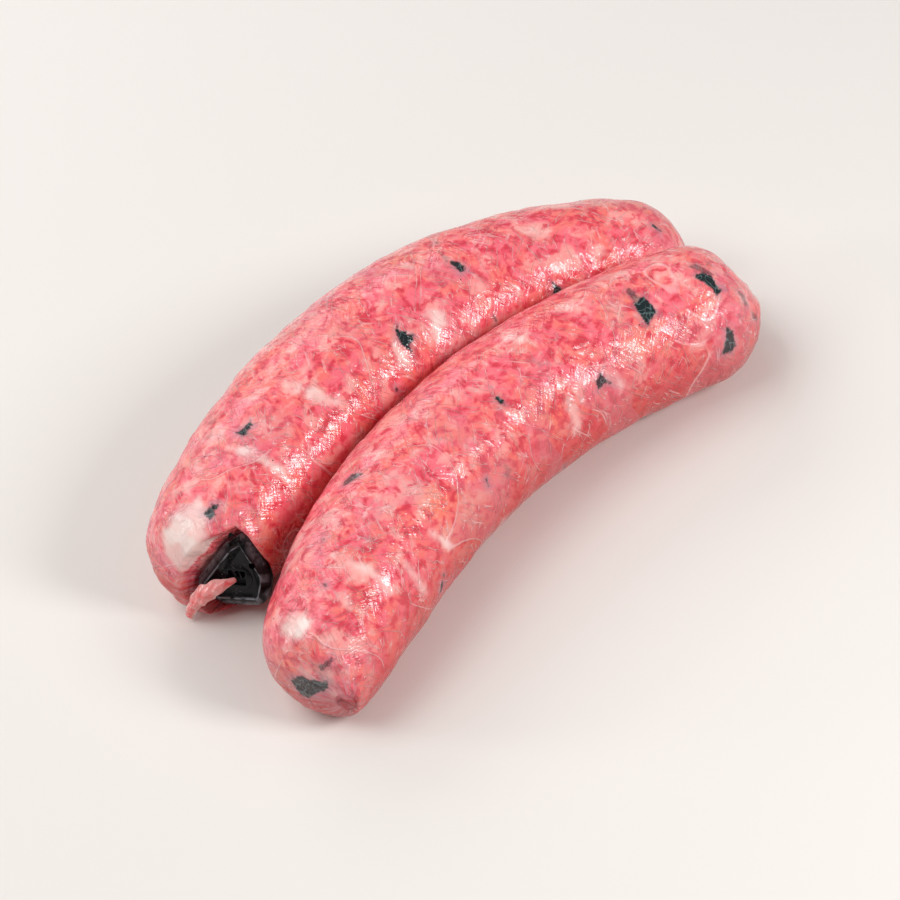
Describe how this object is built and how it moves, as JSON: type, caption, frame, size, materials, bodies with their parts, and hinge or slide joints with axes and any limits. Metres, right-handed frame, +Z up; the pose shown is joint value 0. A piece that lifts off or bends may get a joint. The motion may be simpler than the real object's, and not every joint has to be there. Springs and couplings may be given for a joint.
{
  "type": "sausage links",
  "caption": "Raw minced-meat sausage links in natural casing, folded side by side at their twist, with a plastic end clip and a loose casing tail.",
  "frame": {"origin": "on the surface that the links lie on, under the middle of their bounding box", "axes": "+X along the links towards the end with the twist, +Y across them from the front link to the rear link, +Z up"},
  "size_m": [0.1866, 0.1022, 0.0451],
  "materials": {
    "meat": "moist, glossy casing over raw minced meat with fat and herb flecks",
    "casing": "moist, thin, half-clear animal casing",
    "plastic": "glossy black"
  },
  "bodies": {
    "root": {"link_front": "meat", "link_rear": "meat", "end_clip": "plastic", "casing_tail": "casing", "link_twist": "casing"}
  },
  "joints": []
}
